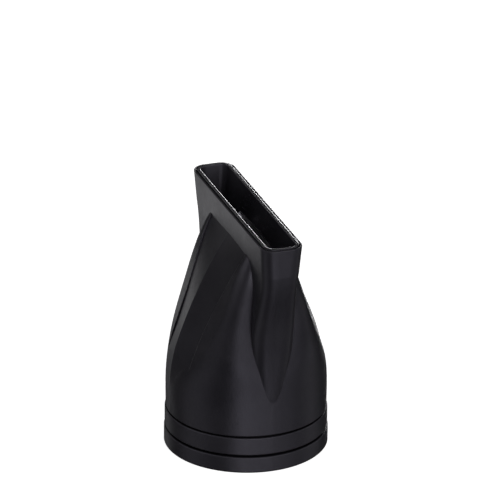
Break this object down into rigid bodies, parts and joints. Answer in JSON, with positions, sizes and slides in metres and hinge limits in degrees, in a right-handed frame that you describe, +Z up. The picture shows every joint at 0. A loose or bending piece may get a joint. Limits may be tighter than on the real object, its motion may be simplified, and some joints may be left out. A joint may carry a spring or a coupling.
{
  "type": "hair dryer nozzle",
  "caption": "Black air concentrator nozzle for a hair dryer: round swivel coupling, domed shell with two side fins and a flat slot mouth.",
  "frame": {"origin": "centre of the coupling's underside, on the surface the nozzle stands on", "axes": "+Z up along the coupling's axis towards the slot mouth, +X along the slot's long side, -Y out of one broad side"},
  "size_m": [0.072, 0.052, 0.0805],
  "materials": {
    "collar_plastic": "satin moulded black",
    "silicone": "matte silicone",
    "spring_steel": "drawn spring steel",
    "trim_plastic": "satin moulded black",
    "shell_plastic": "satin moulded black",
    "duct_plastic": "heat-resistant satin black"
  },
  "bodies": {
    "coupling": {"coupling_collar": "collar_plastic", "grip_ring": "silicone", "retaining_ring": "spring_steel"},
    "head": {"trim_band": "trim_plastic", "nozzle_shell": "shell_plastic", "inner_duct": "duct_plastic"}
  },
  "joints": [
    {"name": "head_swivel", "type": "hinge", "parent": "coupling", "child": "head", "pos_m": [0, 0, 0.0053], "axis": [0, 0, 1], "continuous": true}
  ]
}
